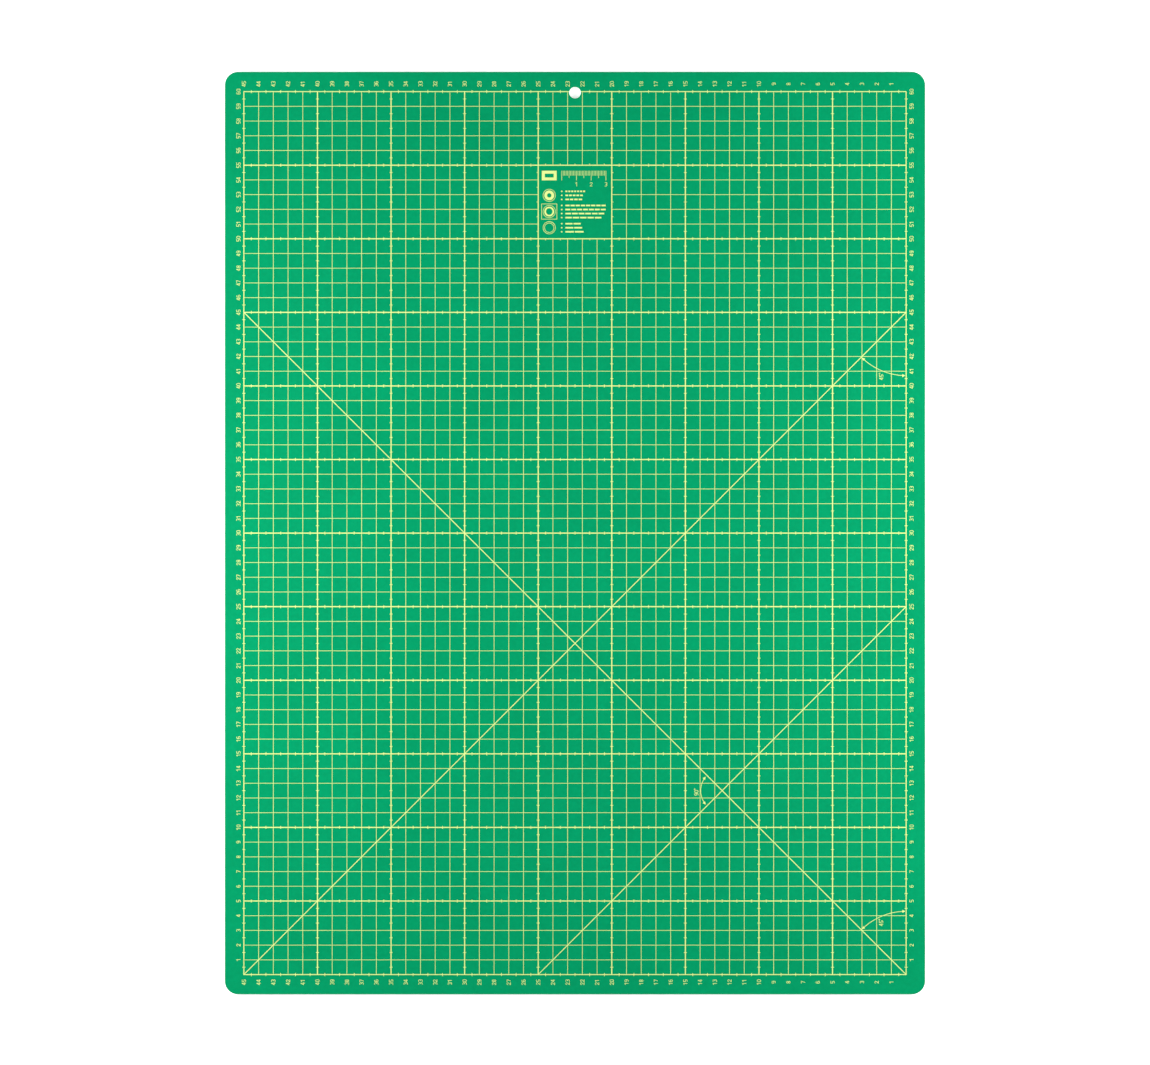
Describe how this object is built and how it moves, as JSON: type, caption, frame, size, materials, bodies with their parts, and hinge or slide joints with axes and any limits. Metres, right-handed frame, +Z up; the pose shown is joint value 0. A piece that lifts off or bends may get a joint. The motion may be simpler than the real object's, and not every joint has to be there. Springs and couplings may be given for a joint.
{
  "type": "self healing cutting mat",
  "caption": "Flat laminated cutting mat with rounded corners, a printed centimetre grid with 45 degree lines and edge scales, and a hanging hole.",
  "frame": {"origin": "middle of the underside, where the mat rests on the bench", "axes": "+Z up out of the printed face, +Y along the long sides towards the end with the hanging hole, +X to the right when the hole is at the top"},
  "size_m": [0.476, 0.627, 0.0021],
  "materials": {
    "green_skin": "matt, fine grained soft PVC",
    "cushion": "plain soft PVC, seen only at the edges",
    "core": "plain stiff PVC, seen only at the edges",
    "printed_ink": "pale yellow screen printed ink, satin"
  },
  "bodies": {
    "root": {"top_skin": "green_skin", "upper_cushion": "cushion", "stiff_core": "core", "lower_cushion": "cushion", "bottom_skin": "green_skin", "print_narrow_lengthwise": "printed_ink", "print_narrow_crosswise": "printed_ink", "print_wide_lines": "printed_ink", "print_angle_marks": "printed_ink", "print_gauge": "printed_ink", "print_numerals_left": "printed_ink", "print_numerals_right": "printed_ink", "print_numerals_top": "printed_ink", "print_numerals_bottom": "printed_ink"}
  },
  "joints": []
}
